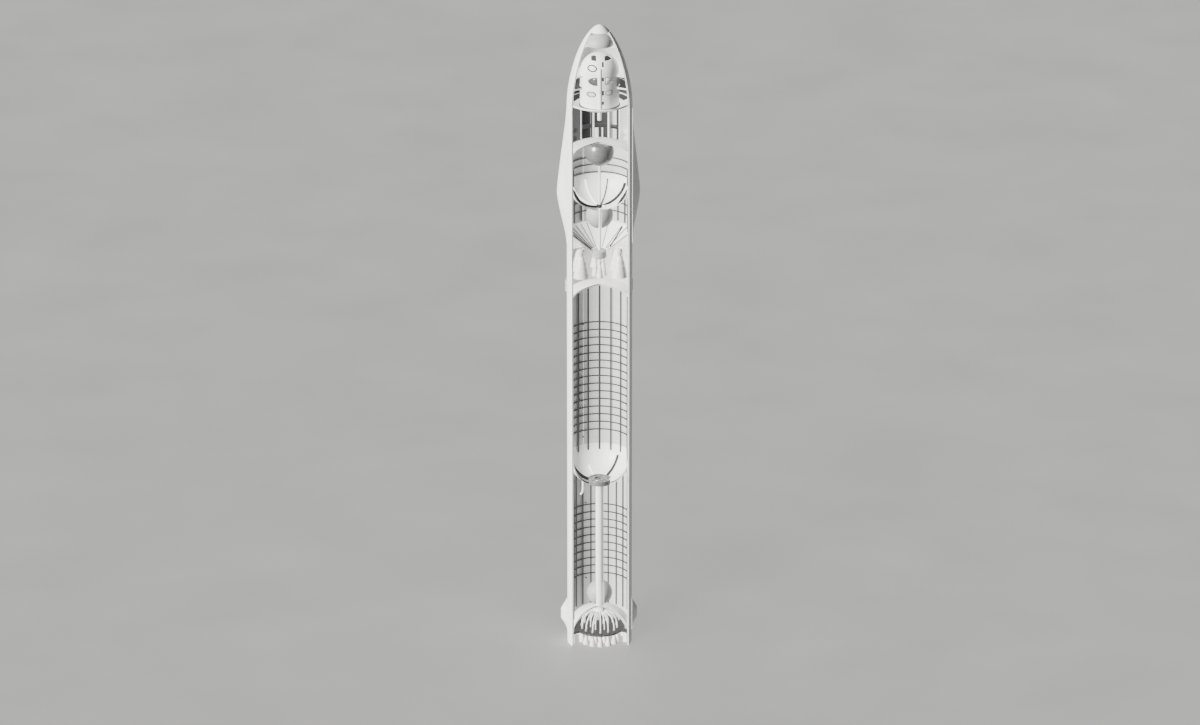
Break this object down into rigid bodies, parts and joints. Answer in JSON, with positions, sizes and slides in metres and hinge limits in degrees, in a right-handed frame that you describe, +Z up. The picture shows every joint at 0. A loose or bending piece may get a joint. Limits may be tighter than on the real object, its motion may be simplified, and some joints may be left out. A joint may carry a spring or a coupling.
{
  "type": "cutaway two-stage space rocket, 1:10 scale model",
  "caption": "Tall white two-stage space rocket, cut open at the front to show its domes, tanks, cabin and engines, 1:10 scale model.",
  "frame": {"origin": "centre of the hull's lower rim, where the launch stand holds it", "axes": "+Z up along the body, the cutaway faces -Y, +X is to the right of someone who faces the cutaway"},
  "size_m": [1.5304, 1.1645, 12.02],
  "materials": {
    "white_enamel": "satin",
    "pale_grey_primer": "satin",
    "grey_enamel": "satin",
    "bell_enamel": "satin"
  },
  "bodies": {
    "booster": {"base_pod_left": "white_enamel", "base_pod_right": "white_enamel", "booster_hull": "white_enamel", "booster_top_dome": "white_enamel", "engine_plate": "pale_grey_primer", "feed_manifold": "white_enamel", "fin_bracket_left": "pale_grey_primer", "fin_bracket_right": "pale_grey_primer", "interstage": "white_enamel", "lower_header_tank": "pale_grey_primer", "lower_tank_stringers": "grey_enamel", "mid_dome": "white_enamel", "sump_drum": "grey_enamel", "thrust_dome": "white_enamel", "transfer_tube": "white_enamel", "upper_tank_stringers": "grey_enamel", "vent_pipe": "white_enamel"},
    "ship": {"cabin_floor": "white_enamel", "cabin_riser": "white_enamel", "cabin_shell": "white_enamel", "cargo_frame": "white_enamel", "common_dome": "white_enamel", "engine_hub": "pale_grey_primer", "fuel_downcomer": "white_enamel", "fuel_header_tank": "pale_grey_primer", "fuel_tank_stringers": "grey_enamel", "leg_pod_left": "white_enamel", "leg_pod_right": "white_enamel", "lower_ring_deck": "white_enamel", "nose_bulkhead": "grey_enamel", "nose_cap": "white_enamel", "nose_deck": "white_enamel", "nose_shell": "white_enamel", "oxygen_downcomer": "white_enamel", "oxygen_header_tank": "grey_enamel", "oxygen_tank_rings": "grey_enamel", "oxygen_top_dome": "white_enamel", "oxygen_vanes": "white_enamel", "ship_hull": "white_enamel", "thrust_cone": "white_enamel", "upper_ring_deck": "white_enamel", "vacuum_engines": "bell_enamel"},
    "left_fin": {"grid_fin_left": "pale_grey_primer"},
    "right_fin": {"grid_fin_right": "pale_grey_primer"},
    "engine_0": {"steering_engine_0": "bell_enamel"},
    "engine_1": {"steering_engine_1": "bell_enamel"},
    "engine_2": {"steering_engine_2": "bell_enamel"},
    "engine_3": {"steering_engine_3": "bell_enamel"},
    "engine_4": {"steering_engine_4": "bell_enamel"},
    "engine_5": {"steering_engine_5": "bell_enamel"},
    "engine_6": {"steering_engine_6": "bell_enamel"},
    "ship_engine_1": {"centre_engine_1": "bell_enamel"},
    "ship_engine_2": {"centre_engine_2": "bell_enamel"},
    "ship_engine_3": {"centre_engine_3": "bell_enamel"}
  },
  "joints": [
    {"name": "stage_lift", "type": "slide", "parent": "booster", "child": "ship", "axis": [0, 0, 1], "range_m": [0, 0.6]},
    {"name": "left_fin_fold", "type": "hinge", "parent": "booster", "child": "left_fin", "pos_m": [-0.54906, 0.317, 7.09], "axis": [0.5, 0.866, 0], "range_deg": [0, 90]},
    {"name": "right_fin_fold", "type": "hinge", "parent": "booster", "child": "right_fin", "pos_m": [0.54906, 0.317, 7.09], "axis": [0.5, -0.866, 0], "range_deg": [0, 90]},
    {"name": "engine_0_swing", "type": "hinge", "parent": "booster", "child": "engine_0", "pos_m": [0, 0, 0.2115], "axis": [0, 1, 0], "range_deg": [-5, 5]},
    {"name": "engine_1_swing", "type": "hinge", "parent": "booster", "child": "engine_1", "pos_m": [0.165, 0, 0.2115], "axis": [0, 1, 0], "range_deg": [-5, 5]},
    {"name": "engine_2_swing", "type": "hinge", "parent": "booster", "child": "engine_2", "pos_m": [0.0825, 0.14289, 0.2115], "axis": [0, 1, 0], "range_deg": [-5, 5]},
    {"name": "engine_3_swing", "type": "hinge", "parent": "booster", "child": "engine_3", "pos_m": [-0.0825, 0.14289, 0.2115], "axis": [0, 1, 0], "range_deg": [-5, 5]},
    {"name": "engine_4_swing", "type": "hinge", "parent": "booster", "child": "engine_4", "pos_m": [-0.165, 0, 0.2115], "axis": [0, 1, 0], "range_deg": [-5, 5]},
    {"name": "engine_5_swing", "type": "hinge", "parent": "booster", "child": "engine_5", "pos_m": [-0.0825, -0.14289, 0.2115], "axis": [0, 1, 0], "range_deg": [-5, 5]},
    {"name": "engine_6_swing", "type": "hinge", "parent": "booster", "child": "engine_6", "pos_m": [0.0825, -0.14289, 0.2115], "axis": [0, 1, 0], "range_deg": [-5, 5]},
    {"name": "ship_engine_1_swing", "type": "hinge", "parent": "ship", "child": "ship_engine_1", "pos_m": [0, -0.075, 7.5395], "axis": [0, 1, 0], "range_deg": [-6, 6]},
    {"name": "ship_engine_2_swing", "type": "hinge", "parent": "ship", "child": "ship_engine_2", "pos_m": [0.06495, 0.0375, 7.5395], "axis": [0, 1, 0], "range_deg": [-6, 6]},
    {"name": "ship_engine_3_swing", "type": "hinge", "parent": "ship", "child": "ship_engine_3", "pos_m": [-0.06495, 0.0375, 7.5395], "axis": [0, 1, 0], "range_deg": [-6, 6]}
  ],
  "couplings": [
    {"joint": "engine_1_swing", "follows": "engine_0_swing", "ratio": 1},
    {"joint": "engine_2_swing", "follows": "engine_0_swing", "ratio": 1},
    {"joint": "engine_3_swing", "follows": "engine_0_swing", "ratio": 1},
    {"joint": "engine_4_swing", "follows": "engine_0_swing", "ratio": 1},
    {"joint": "engine_5_swing", "follows": "engine_0_swing", "ratio": 1},
    {"joint": "engine_6_swing", "follows": "engine_0_swing", "ratio": 1},
    {"joint": "ship_engine_2_swing", "follows": "ship_engine_1_swing", "ratio": 1},
    {"joint": "ship_engine_3_swing", "follows": "ship_engine_1_swing", "ratio": 1}
  ]
}
